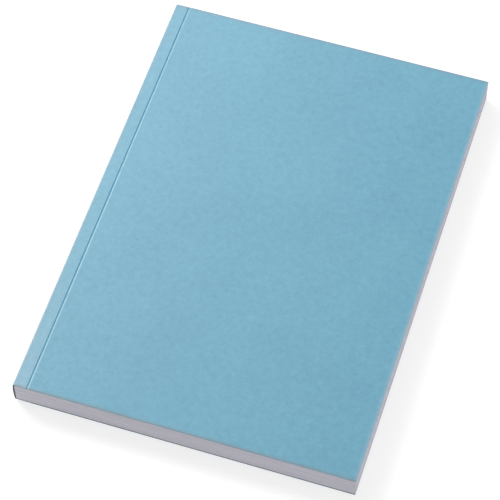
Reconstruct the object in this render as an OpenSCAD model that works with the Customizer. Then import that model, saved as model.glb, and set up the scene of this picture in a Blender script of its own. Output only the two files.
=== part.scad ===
// A5 softcover notebook: a glued block of leaves in a scored and folded card cover.
// The origin is at the bottom centre of the closed book. +X runs from the spine to the fore-edge,
// +Y from the tail to the head and +Z from the back cover to the front cover. Millimetres.

/* [Format] */
// Width of the book, from the spine's outer face to the fore-edge
book_w = 148; // [90:1:220]
// Height of the book, from tail to head
book_h = 210; // [120:1:300]

/* [Leaves] */
// Number of leaves in the block
leaves = 100; // [40:1:150]
// Thickness of one leaf
leaf_t = 0.106; // [0.08:0.001:0.15]
// Largest setback of a leaf's edge behind the trimmed edge of the cover
leaf_play = 0.08; // [0.02:0.01:0.15]

/* [Cover card] */
// Thickness of the cover card
card_t = 0.4; // [0.25:0.01:0.45]
// Space between a flat cover and the first leaf, which the side glue fills near the spine
side_gap = 0.3; // [0.28:0.01:0.5]

/* [Hinge creases] */
// Distance from the spine's outer face to the middle of a hinge crease
hinge_inset = 6.7; // [5:0.1:10]
// Width of the groove that a crease leaves in the outer face of the card
crease_w = 1.2; // [0.8:0.1:1.6]
// Depth of that groove
crease_d = 0.2; // [0.1:0.01:0.22]

/* [Spine folds] */
// Outer radius of the two folds beside the spine
fold_r = 0.6; // [0.5:0.05:1.2]
// How much lower a glued strip lies at the spine than at its crease
strip_drop = 0.18; // [0.05:0.01:0.2]
// How far the middle of the spine stands out past its two folds
spine_bulge = 0.3; // [0.1:0.05:0.5]

/* [Binding glue] */
// Thickness of the glue at the two corners of the block's back; it is thicker at the bulge between
back_glue_t = 0.2; // [0.15:0.05:1.2]
// Clear distance between the edge of the side glue and the crease
glue_stop = 0.4; // [0.2:0.05:1]
// Distance between the notches milled across the back of the block
notch_pitch = 6; // [4:0.5:12]
// Width of a milled notch
notch_w = 0.8; // [0.5:0.1:1.5]
// Depth of a milled notch
notch_d = 0.8; // [0.4:0.1:1.5]

/* [Hidden] */
$fn = 96;

// straight steps that make up the round of one spine fold, and that of the bulge between the folds
round_steps = 12;

// heights, from the underside of the back cover
block_t = leaves * leaf_t;
block_z = card_t + side_gap;
block_top = block_z + block_t;
book_t = block_top + block_z;
mid_z = book_t / 2;

// places along X
spine_x = -book_w / 2;
fore_x = book_w / 2;
hinge_x = spine_x + hinge_inset;

// the crease: a groove of this radius outside, and a bead round the same centre inside
groove_r = (pow(crease_w / 2, 2) + pow(crease_d, 2)) / (2 * crease_d);
bead_r = groove_r + card_t;
bead_half = sqrt(pow(bead_r, 2) - pow(groove_r - crease_d + card_t, 2));
glue_x = hinge_x - bead_half - glue_stop;

// the glued strip falls towards the spine by this angle, and its fold turns about this point
strip_a = atan(strip_drop / hinge_inset);
fold_x = spine_x + spine_bulge + fold_r;
fold_z = book_t - (hinge_x - fold_x) * tan(strip_a) - fold_r / cos(strip_a);

// the bulge runs smoothly on from fold to fold, through this angle each way from its middle
half_back = fold_z - mid_z;
bulge_r = fold_r + (pow(half_back, 2) + pow(spine_bulge, 2)) / (2 * spine_bulge);
bulge_a = asin(half_back / (bulge_r - fold_r));

// the back of the block, clear of the fold's inner face where that curves in beside a corner
fold_in_r = fold_r - card_t;
corner_rise = max(0, block_top - fold_z);
corner_in = fold_in_r - sqrt(pow(fold_in_r, 2) - pow(corner_rise, 2));
back_x = spine_x + spine_bulge + card_t + corner_in + back_glue_t;

// notches start half a pitch from each end, so that no end of the back is cut open
notches = floor(book_h / notch_pitch);
notch_y0 = -(notches - 1) * notch_pitch / 2;

// a tool that cuts runs this far past the face that it cuts
past = 1;

card_blue = [0.55, 0.73, 0.82];
paper_white = [0.93, 0.92, 0.91];
glue_cream = [0.90, 0.87, 0.76];

// The setback of leaf i at one edge: an even spread that looks like chance, from 0 to leaf_play.
function setback(i, edge) =
    let (turn = (i * 0.618 + edge * 0.37 + 0.13 * sin(i * 77 + edge * 50)) % 1)
    leaf_play * abs(turn);

// The stepped side of the stack, from the bottom leaf up, along a trimmed edge at this place.
// The leaves stand back towards the middle of the book.
function leaf_steps(at, edge) = [
    for (i = [0:leaves - 1], top = [0, 1])
        [at - sign(at) * setback(i, edge), block_z + (i + top) * leaf_t]
];

// The points of an outline in the opposite order.
function backwards(points) = [for (i = [len(points) - 1:-1:0]) points[i]];

// Points along an arc from one angle up to, but not at, another.
function arc(centre, r, from, to) = [
    for (i = [0:round_steps - 1])
        let (a = from + (to - from) * i / round_steps)
        centre + r * [cos(a), sin(a)]
];

// Stands an X-Z outline up and runs it along the whole height of the book.
module along_book() {
    rotate([90, 0, 0]) linear_extrude(height = book_h, center = true) children();
}

// Repeats what is drawn for the front side on the back side, mirrored about the middle.
module both_sides() {
    children();
    translate([0, book_t]) mirror([0, 1]) children();
}

// The X-Z outline of the folded cover, inset by depth: 0 is its outer face, card_t its inner face.
module cover_outline(depth, fore) {
    panel_end = [fore, book_t - depth];
    kink = [hinge_x + depth * tan(strip_a / 2), book_t - depth];
    fold = arc([fold_x, fold_z], fold_r - depth, 90 + strip_a, 180 - bulge_a);
    bulge = arc([spine_x + bulge_r, mid_z], bulge_r - depth, 180 - bulge_a, 180);
    front = concat([panel_end, kink], fold, bulge);
    middle = [[spine_x + depth, mid_z]];
    polygon(concat(front, middle, backwards([for (p = front) [p[0], book_t - p[1]]])));
}

// The X-Z section of the whole cover card, with its grooves outside and its beads inside.
module cover_section() {
    crease_at = [hinge_x, book_t + groove_r - crease_d];
    difference() {
        cover_outline(0, fore_x);
        both_sides() translate(crease_at) circle(groove_r);
        difference() {
            cover_outline(card_t, fore_x + past);
            both_sides() translate(crease_at) circle(bead_r);
        }
    }
}

// Keeps the part of an X-Z outline between two places along X and two heights.
module window(x0, x1, z0, z1) {
    intersection() {
        children();
        translate([x0, z0]) square([x1 - x0, z1 - z0]);
    }
}

// The row of milled notches, filled from x0 to their bottoms and between two heights.
module notch_row(x0, z0, z1) {
    for (i = [0:notches - 1])
        translate([x0, notch_y0 + i * notch_pitch - notch_w / 2, z0])
            cube([back_x + notch_d - x0, notch_w, z1 - z0]);
}

// All the leaves as one solid: each leaf ends a little behind the trimmed edge, by its own amount.
module page_block() {
    back_edge = [[back_x, block_top], [back_x, block_z]];
    fore_edge = leaf_steps(fore_x, 0);
    head_edge = leaf_steps(book_h / 2, 1);
    tail_edge = backwards(leaf_steps(-book_h / 2, 2));
    color(paper_white)
        difference() {
            intersection() {
                along_book() polygon(concat(back_edge, fore_edge));
                rotate([90, 0, 90])
                    linear_extrude(height = book_w + 2 * past, center = true)
                        polygon(concat(head_edge, tail_edge));
            }
            notch_row(back_x - past, block_z - past, block_top + past);
        }
}

// The glue: a layer on the back, a strip up each side as far as the crease, and the filled notches.
module spine_glue() {
    color(glue_cream)
        union() {
            along_book()
                difference() {
                    window(spine_x, glue_x, 0, book_t) cover_outline(card_t, fore_x);
                    translate([back_x, block_z]) square([book_w, block_t]);
                }
            notch_row(back_x - back_glue_t / 2, block_z, block_top);
        }
}

// The middle of the cover card: the spine, its two folds and the glued strips up to the creases.
module cover_spine() {
    color(card_blue) along_book() window(spine_x - past, hinge_x, 0, book_t) cover_section();
}

// The front panel of the cover card, from the middle of its crease to the fore-edge.
module front_cover() {
    color(card_blue) along_book() window(hinge_x, fore_x, mid_z, book_t) cover_section();
}

// The back panel, the same as the front one turned over.
module back_cover() {
    color(card_blue) along_book() window(hinge_x, fore_x, 0, mid_z) cover_section();
}

page_block();
spine_glue();
cover_spine();
front_cover();
back_cover();
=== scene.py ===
import math

import bpy
import numpy as np
from mathutils import Matrix, Vector, noise


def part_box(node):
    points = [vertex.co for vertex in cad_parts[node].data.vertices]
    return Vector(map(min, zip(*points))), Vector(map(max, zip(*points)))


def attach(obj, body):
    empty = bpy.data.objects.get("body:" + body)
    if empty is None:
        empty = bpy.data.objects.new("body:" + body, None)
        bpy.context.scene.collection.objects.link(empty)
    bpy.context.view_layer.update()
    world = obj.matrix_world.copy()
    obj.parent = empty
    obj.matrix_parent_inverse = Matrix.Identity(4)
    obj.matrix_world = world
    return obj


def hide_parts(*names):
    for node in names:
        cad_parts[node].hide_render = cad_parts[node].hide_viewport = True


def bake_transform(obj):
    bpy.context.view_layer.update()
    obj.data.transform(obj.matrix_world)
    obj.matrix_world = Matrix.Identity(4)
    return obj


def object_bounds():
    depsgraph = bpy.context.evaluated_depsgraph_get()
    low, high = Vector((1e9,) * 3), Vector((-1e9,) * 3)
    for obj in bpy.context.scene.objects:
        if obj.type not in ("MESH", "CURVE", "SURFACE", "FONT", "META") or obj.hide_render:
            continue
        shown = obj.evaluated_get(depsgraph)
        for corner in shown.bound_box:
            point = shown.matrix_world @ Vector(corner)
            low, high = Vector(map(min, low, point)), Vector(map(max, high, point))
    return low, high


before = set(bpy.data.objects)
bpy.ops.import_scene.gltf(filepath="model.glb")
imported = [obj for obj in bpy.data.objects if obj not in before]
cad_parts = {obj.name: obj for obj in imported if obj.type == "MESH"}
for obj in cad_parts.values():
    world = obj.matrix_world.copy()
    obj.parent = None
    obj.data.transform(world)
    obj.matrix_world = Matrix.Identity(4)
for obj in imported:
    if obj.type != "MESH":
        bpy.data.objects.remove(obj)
cad_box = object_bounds()

MM = 0.001

# places that the frame gives
BOOK_LOW, BOOK_HIGH = cad_box
BLOCK_LOW, BLOCK_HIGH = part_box("page_block")
PANEL_LOW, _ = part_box("front_cover")
SPINE_X = BOOK_LOW.x
FORE_X = BOOK_HIGH.x
HINGE_X = PANEL_LOW.x
TAIL_Y = BOOK_LOW.y
HEAD_Y = BOOK_HIGH.y
BOOK_T = BOOK_HIGH.z

# the cover card, and the two folds and the bulge of its spine
CARD_T = 0.4 * MM
FOLD_R = 0.6 * MM
FOLD_POINTS = 12
STRIP_DROP = 0.18 * MM  # how much lower a glued strip lies at the spine than at its crease
STRIP_A = math.atan(STRIP_DROP / (HINGE_X - SPINE_X))
SPINE_BULGE = 0.3 * MM
BULGE_POINTS = 9

# a crease: the groove in the outer face, and the bead that stands out on the inner one
CREASE_HALF = 0.64 * MM
CREASE_D = 0.24 * MM
BEAD_HALF = 1.1 * CREASE_HALF
BEAD_D = 0.22 * MM
SEAM_X = HINGE_X - 1.0 * MM  # where a panel's piece meets the spine's

# the trimmed edges of the card: a small radius, and a strip that the knife has pressed down
EDGE_R = 0.03 * MM
ROLL_W = 0.7 * MM
ROLL_D = 0.04 * MM
EDGE_POINTS = np.array([0, 0.02, 0.05, 0.1, 0.25, 0.45, 0.7, 1.1]) * MM
FAR_INSIDE = 1.0  # a distance from an edge at which nothing of it is left

# how far the card stands off its plane
PANEL_WAVE = 0.04 * MM
STRIP_PUCKER = 0.02 * MM

# the leaves
LEAVES = 100
LEAF_PLAY = 0.08 * MM  # largest setback of a whole leaf
LEAF_WAVE = 0.05 * MM  # largest wander of its edge
LEAF_GROOVE = 0.035 * MM  # depth of the groove between two leaves
GROOVE_SHARE = 0.12  # half the groove's width, as a share of a leaf's thickness
LEAF_STEP = 13 * MM
NOTCH_PITCH = 6 * MM
NOTCH_W = 0.8 * MM
NOTCH_D = 0.8 * MM

# edges that turn by more than this are drawn sharp
SHARP_ANGLE = math.radians(40)

# linear colours
CARD_DARK = (0.082, 0.267, 0.387)
CARD_LIGHT = (0.150, 0.403, 0.529)
CARD_RUBBED = (0.330, 0.410, 0.450)
# painted sheen and highlight: the pale colour mixed in on the glued strips and along the fore-edge
CARD_SHEEN = (0.420, 0.500, 0.580)
# the card is mixed towards this for painted shade at the spine's folds, and for a darker band along the
# head and tail
CARD_DARKENED = (0.200, 0.200, 0.190)
CARD_CORE = (0.300, 0.430, 0.510)
PAPER = (0.80, 0.80, 0.82)
# the leaves' trimmed edges: darker and bluer than PAPER, partly painted cool shade
PAPER_EDGE_SHADED = (0.69, 0.68, 0.755)
# the glue's cream, darkened in part as painted shade
GLUE_SHADED = (0.42, 0.385, 0.32)
FLOOR = (0.36, 0.36, 0.36)
WHITE = (1, 1, 1)

# the room
FLOOR_SIZE = 6
FLOOR_Z = -0.5 * MM
FLOOR_GLOW = 0.7
WORLD_STRENGTH = 0.43

# the camera, found from the corners of the book in the photograph
CAMERA_AT = Vector((169.4, -524.4, 850.5)) * MM
CAMERA_FORWARD = Vector((-0.1704, 0.5134, -0.8411))
CAMERA_UP = Vector((-0.2544, 0.8017, 0.5409))
CAMERA_NEAREST = 10 * MM
FOCAL_PX = 2332
FRAME_PX = 500
SENSOR_MM = 36


# Node helpers

class Shader:
    """A material being built: each call adds what it names and returns its output."""

    def __init__(self, name, roughness, specular):
        self.material = bpy.data.materials.new(name)
        self.material.use_nodes = True
        self.nodes = self.material.node_tree.nodes
        self.links = self.material.node_tree.links
        self.surface = self.nodes["Principled BSDF"]
        self.surface.inputs["Roughness"].default_value = roughness
        self.surface.inputs["Specular IOR Level"].default_value = specular

    def node(self, kind, **settings):
        made = self.nodes.new(kind)
        for key, value in settings.items():
            setattr(made, key, value)
        return made

    def feed(self, socket, value):
        """Links an output to a socket, or sets the socket to a plain value."""
        if isinstance(value, bpy.types.NodeSocket):
            self.links.new(value, socket)
        elif socket.type == "RGBA":
            socket.default_value = (*value, 1)
        else:
            socket.default_value = value

    def attribute(self, name, output="Fac"):
        return self.node("ShaderNodeAttribute", attribute_name=name).outputs[output]

    def rest_place(self, scale=(1, 1, 1), turn=0.0):
        """The point's place at rest, in millimetres, scaled and then turned about Z."""
        mapping = self.node("ShaderNodeMapping")
        self.feed(mapping.inputs["Vector"], self.attribute("rest_mm", "Vector"))
        mapping.inputs["Rotation"].default_value = (0, 0, turn)
        mapping.inputs["Scale"].default_value = scale
        return mapping.outputs["Vector"]

    def object_place(self):
        """The point's place in its own object, in metres."""
        return self.node("ShaderNodeTexCoord").outputs["Object"]

    def split(self, vector):
        made = self.node("ShaderNodeSeparateXYZ")
        self.feed(made.inputs[0], vector)
        return made.outputs

    def noise(self, place, scale, detail, rough=0.5):
        made = self.node("ShaderNodeTexNoise")
        self.feed(made.inputs["Vector"], place)
        made.inputs["Scale"].default_value = scale
        made.inputs["Detail"].default_value = detail
        made.inputs["Roughness"].default_value = rough
        return made.outputs["Fac"]

    def fit(self, value, low, high, to_low, to_high):
        """Maps low..high to to_low..to_high, clamped."""
        made = self.node("ShaderNodeMapRange")
        self.feed(made.inputs["Value"], value)
        for key, number in zip(("From Min", "From Max", "To Min", "To Max"),
                               (low, high, to_low, to_high)):
            made.inputs[key].default_value = number
        return made.outputs["Result"]

    def patches(self, place, scale, detail, to_low, to_high):
        """Noise brought from 0.3 to 0.7, which it mostly keeps to, to another range."""
        return self.fit(self.noise(place, scale, detail), 0.3, 0.7, to_low, to_high)

    def ramp(self, value, edge, first, last, to_first, to_last):
        """A change between two distances in millimetres from an edge, along one axis of rest_place."""
        return self.fit(value, edge / MM + first, edge / MM + last, to_first, to_last)

    def math(self, operation, a, b):
        made = self.node("ShaderNodeMath", operation=operation)
        self.feed(made.inputs[0], a)
        self.feed(made.inputs[1], b)
        return made.outputs[0]

    def product(self, *values):
        out = values[0]
        for value in values[1:]:
            out = self.math("MULTIPLY", out, value)
        return out

    def mix(self, share, a, b):
        """From colour a to colour b, as the share goes from 0 to 1."""
        made = self.node("ShaderNodeMix", data_type="RGBA")
        self.feed(made.inputs[0], share)
        colours = [socket for socket in made.inputs if socket.type == "RGBA"]
        self.feed(colours[0], a)
        self.feed(colours[1], b)
        return next(socket for socket in made.outputs if socket.type == "RGBA")

    def shade(self, colour, value):
        """The colour, lightened or darkened by a number around 1."""
        made = self.node("ShaderNodeVectorMath", operation="SCALE")
        self.feed(made.inputs[0], colour)
        self.feed(made.inputs["Scale"], value)
        return made.outputs[0]

    def bump(self, height, distance, under=None):
        made = self.node("ShaderNodeBump")
        self.feed(made.inputs["Height"], height)
        made.inputs["Distance"].default_value = distance
        if under is not None:
            self.feed(made.inputs["Normal"], under)
        return made.outputs["Normal"]

    def finish(self, colour, normal=None, roughness=None):
        """Joins what was built to the surface, and returns the material."""
        self.feed(self.surface.inputs["Base Color"], colour)
        if normal is not None:
            self.feed(self.surface.inputs["Normal"], normal)
        if roughness is not None:
            self.feed(self.surface.inputs["Roughness"], roughness)
        return self.material


# Materials

def card_dye(shader, place):
    """The card's own colour: clouds, mottling, short fibres both ways, and sparse flecks."""
    cloud = shader.patches(place, 0.03, 3, 0.965, 1.035)
    mottle = shader.fit(shader.noise(place, 0.35, 4, rough=0.6), 0.25, 0.75, 0.925, 1.075)
    along = shader.noise(shader.rest_place(scale=(2.6, 0.5, 1), turn=0.35), 1.0, 3)
    across = shader.noise(shader.rest_place(scale=(0.5, 2.9, 1), turn=-0.25), 1.0, 3)
    fibre = shader.fit(shader.math("ADD", along, across), 0.7, 1.3, 0.953, 1.047)
    fleck = shader.noise(place, 1.3, 1)
    dark_fleck = shader.fit(fleck, 0.26, 0.36, 0.9, 1.0)
    light_fleck = shader.fit(fleck, 0.64, 0.74, 1.0, 1.08)
    lightness = shader.product(cloud, mottle, fibre, dark_fleck, light_fleck)
    return shader.mix(shader.fit(lightness, 0.8, 1.2, 0.0, 1.0), CARD_DARK, CARD_LIGHT)


def card_wear(shader, place, colour):
    """The colour with its wear and its painted light: rubbed edges, painted sheen on the glued strips, a
    painted highlight along the fore-edge, painted shade at the spine's folds, and darker bands at the
    head and tail.
    """
    near_edge = shader.fit(shader.attribute("edge_mm"), 0.0, 0.5, 0.30, 0.0)
    rubbed = shader.product(near_edge, shader.patches(place, 0.5, 3, 0.5, 1.1))
    colour = shader.mix(rubbed, colour, CARD_RUBBED)
    x, y, z = shader.split(place)
    # painted sheen on the glued strips, strongest towards the tail, and a painted highlight along the
    # fore-edge
    towards_tail = shader.ramp(y, TAIL_Y, 0, 75, 0.2, 0.0)
    strips = shader.product(towards_tail, shader.ramp(x, HINGE_X, -0.7, -0.2, 1.0, 0.0))
    fore_edge_highlight = shader.ramp(x, FORE_X, -1.6, 0, 0.0, 0.33)
    colour = shader.mix(shader.math("ADD", strips, fore_edge_highlight), colour, CARD_SHEEN)
    # painted shade where the card turns round the spine's folds
    back_fold = shader.ramp(z, 0, 0.5, 1.2, 1.0, 0.0)
    front_fold = shader.ramp(z, BOOK_T, -1.2, -0.5, 0.0, 1.0)
    at_spine = shader.ramp(x, SPINE_X, 0.9, 2.0, 0.25, 0.0)
    folds = shader.product(at_spine, shader.math("ADD", back_fold, front_fold))
    # a darker band along the head and tail
    tail = shader.ramp(y, TAIL_Y, 0.3, 1.7, 0.3, 0.0)
    head = shader.ramp(y, HEAD_Y, -1.7, -0.3, 0.0, 0.3)
    darkening = shader.math("MAXIMUM", folds, shader.math("ADD", tail, head))
    return shader.mix(darkening, colour, CARD_DARKENED)


def card_material():
    """Uncoated card, dyed through, with a felted surface, signs of wear, and painted sheen, highlight
    and shade.
    """
    shader = Shader("cover_card", roughness=0.45, specular=0.75)
    place = shader.rest_place()
    colour = card_wear(shader, place, card_dye(shader, place))
    felt = shader.bump(shader.noise(place, 1.6, 4, rough=0.65), 0.03 * MM)
    tooth = shader.bump(shader.noise(place, 5.0, 2), 0.008 * MM, under=felt)
    return shader.finish(colour, tooth, shader.patches(place, 0.6, 2, 0.41, 0.48))


def core_material():
    """The cut edge of the card: short fibres, with painted shade near the spine and towards the bottom.
    """
    shader = Shader("card_core", roughness=0.9, specular=0.2)
    place = shader.rest_place()
    x, _, z = shader.split(place)
    streak = shader.patches(shader.rest_place(scale=(1.2, 1.2, 9)), 1.0, 3, 0.8, 1.2)
    # painted shade: almost black within a millimetre of the spine, where the card's end meets the block
    spine_shade = shader.ramp(x, SPINE_X, 0.8, 2.2, 0.04, 1.0)
    # painted shade, darker towards the bottom
    darkening = shader.ramp(z, 0, 0.3, 1.0, 0.3, 1.0)
    colour = shader.shade(CARD_CORE, shader.product(streak, spine_shade, darkening))
    return shader.finish(colour, shader.bump(shader.noise(place, 7.0, 2), 0.02 * MM))


def paper_material():
    """The face of a leaf: smooth writing paper with a faint tooth."""
    shader = Shader("leaf_face", roughness=0.85, specular=0.25)
    place = shader.rest_place()
    colour = shader.shade(PAPER, shader.patches(place, 0.4, 4, 0.985, 1.015))
    return shader.finish(colour, shader.bump(shader.noise(place, 4.0, 3), 0.01 * MM))


def leaf_edge_material():
    """The trimmed edges of the leaves: darker and bluer than their faces, partly as painted cool shade,
    and each leaf a little lighter or darker, in long streaks.
    """
    shader = Shader("leaf_edges", roughness=0.9, specular=0.2)
    leaf = shader.patches(shader.rest_place(scale=(0.05, 0.05, 9)), 1.0, 1, 0.88, 1.06)
    band = shader.patches(shader.rest_place(scale=(0.02, 0.02, 1.1)), 1.0, 2, 0.95, 1.04)
    nick = shader.patches(shader.rest_place(scale=(1.5, 1.5, 3)), 1.0, 3, 0.96, 1.03)
    colour = shader.shade(PAPER_EDGE_SHADED, shader.product(leaf, band, nick))
    grain = shader.noise(shader.rest_place(scale=(2, 2, 9)), 1.0, 2)
    return shader.finish(colour, shader.bump(grain, 0.02 * MM))


def glue_material():
    """Hot-melt glue: a cream darkened in part as painted shade, slightly glossy and uneven, with more
    painted shade against the spine.
    """
    shader = Shader("binding_glue", roughness=0.4, specular=0.5)
    place = shader.object_place()
    x, _, _ = shader.split(place)
    cloud = shader.patches(place, 400, 3, 0.9, 1.08)
    # painted shade: near black within a millimetre of the spine
    darkening = shader.fit(x, SPINE_X + 0.7 * MM, SPINE_X + 1.3 * MM, 0.08, 1.0)
    colour = shader.shade(GLUE_SHADED, shader.product(cloud, darkening))
    return shader.finish(colour, shader.bump(shader.noise(place, 900, 2), 0.05 * MM))


def floor_material():
    """A plain white sheet, lit a little from below as on a photographer's light table."""
    shader = Shader("floor", roughness=0.9, specular=0.1)
    cloud = shader.patches(shader.object_place(), 6, 2, 0.995, 1.005)
    shader.feed(shader.surface.inputs["Emission Color"], WHITE)
    shader.feed(shader.surface.inputs["Emission Strength"], FLOOR_GLOW)
    return shader.finish(shader.shade(FLOOR, cloud))


# Mesh helpers

def new_piece(name, points, faces, indices, materials, edge_mm=None):
    """A piece from points and faces, with its place at rest kept for its materials."""
    mesh = bpy.data.meshes.new(name)
    mesh.from_pydata([tuple(point) for point in points], [], faces)
    mesh.validate()
    for material in materials:
        mesh.materials.append(material)
    mesh.polygons.foreach_set("material_index", indices)
    mesh.polygons.foreach_set("use_smooth", [True] * len(mesh.polygons))
    mesh.set_sharp_from_angle(angle=SHARP_ANGLE)
    rest = mesh.attributes.new("rest_mm", "FLOAT_VECTOR", "POINT")
    rest.data.foreach_set("vector", (np.array(points) / MM).astype(np.float32).ravel())
    if edge_mm is not None:
        edge = mesh.attributes.new("edge_mm", "FLOAT", "POINT")
        edge.data.foreach_set("value", np.array(edge_mm, np.float32))
    mesh.update()
    piece = bpy.data.objects.new(name, mesh)
    bpy.context.scene.collection.objects.link(piece)
    return piece


def spread(low, high, step):
    """Even places from low to high, no more than a step apart."""
    return np.linspace(low, high, max(2, math.ceil((high - low) / step) + 1))


def merged(*runs):
    """All the places of the runs in rising order, each once."""
    return np.array(sorted({round(float(place), 8) for run in runs for place in run}))


def soft(share):
    """A smooth step: 0 up to 0, then rising to 1 at 1."""
    share = min(1.0, max(0.0, share))
    return share * share * (3 - 2 * share)


# The cover card

def ripple(x, y):
    """How far the card stands off its plane: broad waves on the panels, small puckers on the strips."""
    panel = soft((x - HINGE_X - 2 * MM) / (20 * MM))
    wave = noise.noise(Vector((x / (45 * MM), y / (60 * MM), 3.1)))
    strip = soft((SEAM_X - x) / (1.2 * MM)) * soft((x - SPINE_X - 0.9 * MM) / (1.5 * MM))
    pucker = noise.noise(Vector((x / (3 * MM), y / (7 * MM), 8.7)))
    return panel * wave * PANEL_WAVE + strip * pucker * STRIP_PUCKER


def rounded(distance):
    """How far a face falls away at this distance from a trimmed edge, through its small radius."""
    inside = max(0.0, EDGE_R - distance)
    return EDGE_R - math.sqrt(EDGE_R ** 2 - inside ** 2)


def rolled(distance):
    """How far the whole edge is pressed down by the trimming knife."""
    return ROLL_D * max(0.0, 1 - distance / ROLL_W) ** 2


def crease(x, half, depth):
    """The depth at x of a smooth groove along the hinge, from its half width and its full depth."""
    across = (x - HINGE_X) / half
    return depth * (1 - across ** 2) ** 2 if abs(across) < 1 else 0.0


def strip_fall(x):
    """How far the card has come down at x, between the crease and the spine."""
    return max(0.0, HINGE_X - x) * math.tan(STRIP_A)


def panel_places():
    """Places along a panel, close together at the crease and at the fore-edge."""
    fine_end = HINGE_X + 1.2 * MM
    medium_end = HINGE_X + 6 * MM
    fine = spread(SEAM_X, fine_end, 0.08 * MM)
    medium = spread(fine_end, medium_end, 0.6 * MM)
    coarse = spread(HINGE_X + 4.1 * MM, FORE_X - EDGE_POINTS[-1], 3 * MM)
    return merged(fine, medium, coarse[coarse > medium_end], FORE_X - EDGE_POINTS)


def panel_stations():
    """Stations along the front panel, from its seam with the spine's piece to the fore-edge.

    A station is an X-Z point on the outer face, one on the inner face, and their distance to the
    fore-edge.
    """
    stations = []
    for x in panel_places():
        top = BOOK_T - strip_fall(x)
        outer = Vector((x, top - crease(x, CREASE_HALF, CREASE_D)))
        inner = Vector((x, top - CARD_T - crease(x, BEAD_HALF, BEAD_D)))
        stations.append((outer, inner, FORE_X - x))
    return stations


def arc_station(centre, radius, angle):
    """A station of the spine's piece, on an arc of this outer radius."""
    way = Vector((math.cos(angle), math.sin(angle)))
    return centre + way * radius, centre + way * (radius - CARD_T), FAR_INSIDE


def turned_over(stations):
    """The same stations mirrored about the middle of the book's thickness."""
    return [(Vector((outer.x, BOOK_T - outer.y)), Vector((inner.x, BOOK_T - inner.y)), to_fore)
            for outer, inner, to_fore in stations]


def spine_stations():
    """The same along the spine's piece: front strip, fold, bulging spine, fold and back strip."""
    fold_x = SPINE_X + SPINE_BULGE + FOLD_R
    fold_z = BOOK_T - strip_fall(fold_x) - FOLD_R / math.cos(STRIP_A)
    fold_centre = Vector((fold_x, fold_z))
    stations = []

    # the inner face is square to the strip, but at the seam it lies straight below, as the panel's does
    square_in = Vector((math.sin(STRIP_A), -math.cos(STRIP_A))) * CARD_T
    straight_in = Vector((0, -CARD_T))
    strip = spread(fold_x - FOLD_R * math.sin(STRIP_A), SEAM_X, 0.5 * MM)
    for x in strip[:0:-1]:
        outer = Vector((x, BOOK_T - strip_fall(x)))
        inner = outer + (square_in if x < SEAM_X else straight_in)
        stations.append((outer, inner, FAR_INSIDE))

    # the bulge starts where the fold has turned as steep as the bulge's own end
    half = fold_z - BOOK_T / 2
    bulge_r = FOLD_R + (half ** 2 + SPINE_BULGE ** 2) / (2 * SPINE_BULGE)
    bulge_centre = Vector((SPINE_X + bulge_r, BOOK_T / 2))
    bulge_start = math.pi - math.asin(half / (bulge_r - FOLD_R))
    for angle in np.linspace(math.pi / 2 + STRIP_A, bulge_start, FOLD_POINTS):
        stations.append(arc_station(fold_centre, FOLD_R, angle))
    for angle in np.linspace(bulge_start, math.pi, BULGE_POINTS)[1:]:
        stations.append(arc_station(bulge_centre, bulge_r, angle))
    return stations + turned_over(stations[-2::-1])


def card_points(stations, rows):
    """The outer face's points, the inner face's, and each pair's distance to a trimmed edge in mm."""
    outside = []
    inside = []
    edge_mm = []
    for outer, inner, to_fore in stations:
        normal = (outer - inner).normalized()
        for y in rows:
            distance = max(0.0, min(to_fore, y - TAIL_Y, HEAD_Y - y))
            lift = ripple(outer.x, y) - rolled(distance)
            top = outer + normal * (lift - rounded(distance))
            low = inner + normal * (lift + rounded(distance))
            outside.append((top.x, y, top.y))
            inside.append((low.x, y, low.y))
            edge_mm.append(distance / MM)
    return outside, inside, edge_mm


def card_faces(across, along):
    """The faces of a closed sheet, across by along points on each side: two broad sides, four edges."""
    shift = across * along
    sides = []
    edges = []
    for i in range(across - 1):
        for j in range(along - 1):
            corner = i * along + j
            quad = [corner, corner + along, corner + along + 1, corner + 1]
            sides.append(quad)
            sides.append([shift + point for point in quad[::-1]])
    for i in range(across - 1):
        tail = i * along
        head = tail + along - 1
        edges.append([tail, shift + tail, shift + tail + along, tail + along])
        edges.append([head, head + along, shift + head + along, shift + head])
    for j in range(along - 1):
        near = j
        far = (across - 1) * along + j
        edges.append([near, near + 1, shift + near + 1, shift + near])
        edges.append([far, shift + far, shift + far + 1, far + 1])
    return sides, edges


def card_piece(name, stations, materials, flip=False):
    """A closed sheet of card that follows the stations and runs from tail to head."""
    inset = EDGE_POINTS[-1]
    middle = spread(TAIL_Y + inset, HEAD_Y - inset, 2.5 * MM)
    rows = merged(TAIL_Y + EDGE_POINTS, middle, HEAD_Y - EDGE_POINTS)
    outside, inside, edge_mm = card_points(stations, rows)
    sides, edges = card_faces(len(stations), len(rows))
    faces = sides + edges
    if flip:
        faces = [corners[::-1] for corners in faces]
    indices = [0] * len(sides) + [1] * len(edges)
    return new_piece(name, outside + inside, faces, indices, materials, edge_mm * 2)


def make_cover():
    """The card in three pieces: the two panels with their creases, and the spine's piece, which is fixed
    to the bound block.
    """
    materials = [card_material(), core_material()]
    panel = panel_stations()
    front = card_piece("front_cover_card", panel, materials)
    back = card_piece("back_cover_card", turned_over(panel), materials, flip=True)
    spine = card_piece("spine_card", spine_stations(), materials, flip=True)
    for piece, body, z in ((front, "front", BOOK_T), (back, "back", 0)):
        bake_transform(piece)
    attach(spine, "bound_block")
    for piece, node in ((front, "front_cover"), (back, "back_cover"), (spine, "cover_spine")):
        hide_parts(node)


# The leaves

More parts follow.
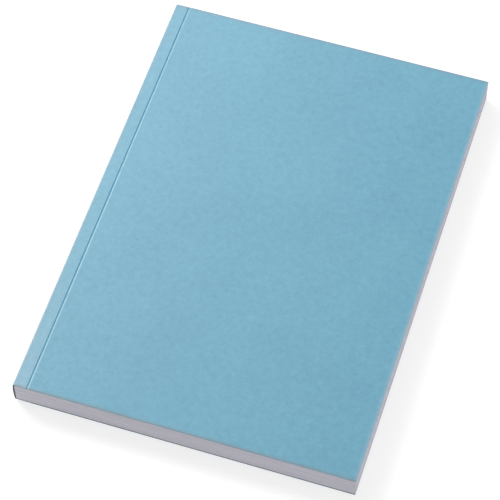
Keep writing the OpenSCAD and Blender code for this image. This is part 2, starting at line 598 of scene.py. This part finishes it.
def leaf_back(tail_end, head_end):
    """The back edge of a leaf from head to tail, with the milled notches."""
    count = int((HEAD_Y - TAIL_Y) / NOTCH_PITCH)
    first = (TAIL_Y + HEAD_Y) / 2 + (count - 1) * NOTCH_PITCH / 2
    back_x = BLOCK_LOW.x
    points = [(back_x, head_end)]
    for i in range(count):
        upper = first - i * NOTCH_PITCH + NOTCH_W / 2
        lower = first - i * NOTCH_PITCH - NOTCH_W / 2
        points += [(back_x, upper), (back_x + NOTCH_D, upper)]
        points += [(back_x + NOTCH_D, lower), (back_x, lower)]
    return points + [(back_x, tail_end)]


def leaf_setback(leaf, edge, place):
    """How far a leaf stands back at a place along an edge: by chance, and by a slow wander."""
    chance = min(1.0, 1.4 * abs(noise.noise(Vector((leaf * 1.73, edge * 5.1, 0.5)))))
    wander = 0.5 + 0.5 * noise.noise(Vector((place / (35 * MM), leaf * 0.31, edge * 9.7)))
    return LEAF_PLAY * chance + LEAF_WAVE * wander


def leaf_ring(leaf, inset):
    """One leaf's outline, its trimmed edges set back by their own amounts plus an inset."""
    def fore(y):
        return FORE_X - leaf_setback(leaf, 0, y) - inset

    def tail(x):
        return TAIL_Y + leaf_setback(leaf, 1, x) + inset

    def head(x):
        return HEAD_Y - leaf_setback(leaf, 2, x) - inset

    xs = spread(BLOCK_LOW.x, FORE_X, LEAF_STEP)[1:-1]
    ys = spread(TAIL_Y, HEAD_Y, LEAF_STEP)[1:-1]
    ring = [(x, tail(x)) for x in xs]
    ring.append((fore(TAIL_Y), tail(FORE_X)))
    ring += [(fore(y), y) for y in ys]
    ring.append((fore(HEAD_Y), head(FORE_X)))
    ring += [(x, head(x)) for x in xs[::-1]]
    return ring + leaf_back(tail(SPINE_X), head(SPINE_X))


def leaf_rings():
    """The outlines of the block from its bottom up: two for each leaf, and a sunk one between leaves."""
    leaf_t = (BLOCK_HIGH.z - BLOCK_LOW.z) / LEAVES
    groove_half = leaf_t * GROOVE_SHARE
    rings = []
    for leaf in range(LEAVES):
        is_first = leaf == 0
        is_last = leaf == LEAVES - 1
        low = BLOCK_LOW.z + leaf * leaf_t
        outline = leaf_ring(leaf, 0.0)
        bottom = low + (0 if is_first else groove_half)
        top = low + leaf_t - (0 if is_last else groove_half)
        rings.append([(x, y, bottom) for x, y in outline])
        rings.append([(x, y, top) for x, y in outline])
        if not is_last:
            rings.append([(x, y, low + leaf_t) for x, y in leaf_ring(leaf, LEAF_GROOVE)])
    return rings


def make_leaves():
    rings = leaf_rings()
    size = len(rings[0])
    last = (len(rings) - 1) * size
    faces = [list(range(size))[::-1], list(range(last, last + size))]
    indices = [0, 0]
    for level in range(0, last, size):
        for k in range(size):
            here = level + k
            beside = level + (k + 1) % size
            faces.append([here, beside, beside + size, here + size])
            indices.append(1)
    points = [point for ring in rings for point in ring]
    block = new_piece("leaves", points, faces, indices, [paper_material(), leaf_edge_material()])
    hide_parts("page_block")
    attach(block, "bound_block")


def make_glue():
    """The glue's solid is shown as it is, since almost none of it can be seen."""
    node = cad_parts["spine_glue"]
    node.data.materials.clear()
    node.data.materials.append(glue_material())


# The room

def make_floor():
    """Just below the book, so that the back cover lies clear of it when it is folded back."""
    bpy.ops.mesh.primitive_plane_add(size=FLOOR_SIZE, location=(0, 0, FLOOR_Z))
    floor = bpy.context.object
    floor.name = "floor"
    floor.data.materials.append(floor_material())


def make_light(name, at, side, power):
    """A square soft light that faces the book."""
    data = bpy.data.lights.new(name, "AREA")
    data.shape = "SQUARE"
    data.size = side
    data.energy = power
    light = bpy.data.objects.new(name, data)
    light.location = at
    light.rotation_euler = (-Vector(at)).to_track_quat("-Z", "Y").to_euler()
    bpy.context.scene.collection.objects.link(light)


def make_lights():
    world = bpy.data.worlds.new("studio")
    world.use_nodes = True
    background = world.node_tree.nodes["Background"]
    background.inputs["Color"].default_value = (*WHITE, 1)
    background.inputs["Strength"].default_value = WORLD_STRENGTH
    bpy.context.scene.world = world
    make_light("key", at=(-1.31, 0.52, 0.67), side=0.55, power=6.0)
    make_light("left", at=(-1.28, 0.74, 1.28), side=0.6, power=22.5)
    make_light("back", at=(-0.66, 1.10, 1.20), side=0.6, power=7.0)
    make_light("right", at=(1.95, 0.3, 0.95), side=1.3, power=8.9)


def make_camera():
    forward = CAMERA_FORWARD.normalized()
    right = forward.cross(CAMERA_UP).normalized()
    up = right.cross(forward)
    turn = Matrix((right, up, -forward)).transposed().to_4x4()
    data = bpy.data.cameras.new("camera")
    data.sensor_width = SENSOR_MM
    data.lens = FOCAL_PX / FRAME_PX * SENSOR_MM
    data.clip_start = CAMERA_NEAREST
    camera = bpy.data.objects.new("camera", data)
    camera.matrix_world = Matrix.Translation(CAMERA_AT) @ turn
    bpy.context.scene.collection.objects.link(camera)
    bpy.context.scene.camera = camera


make_camera()
make_lights()
make_floor()
make_cover()
make_leaves()
make_glue()
bpy.context.scene.view_settings.view_transform = "Standard"
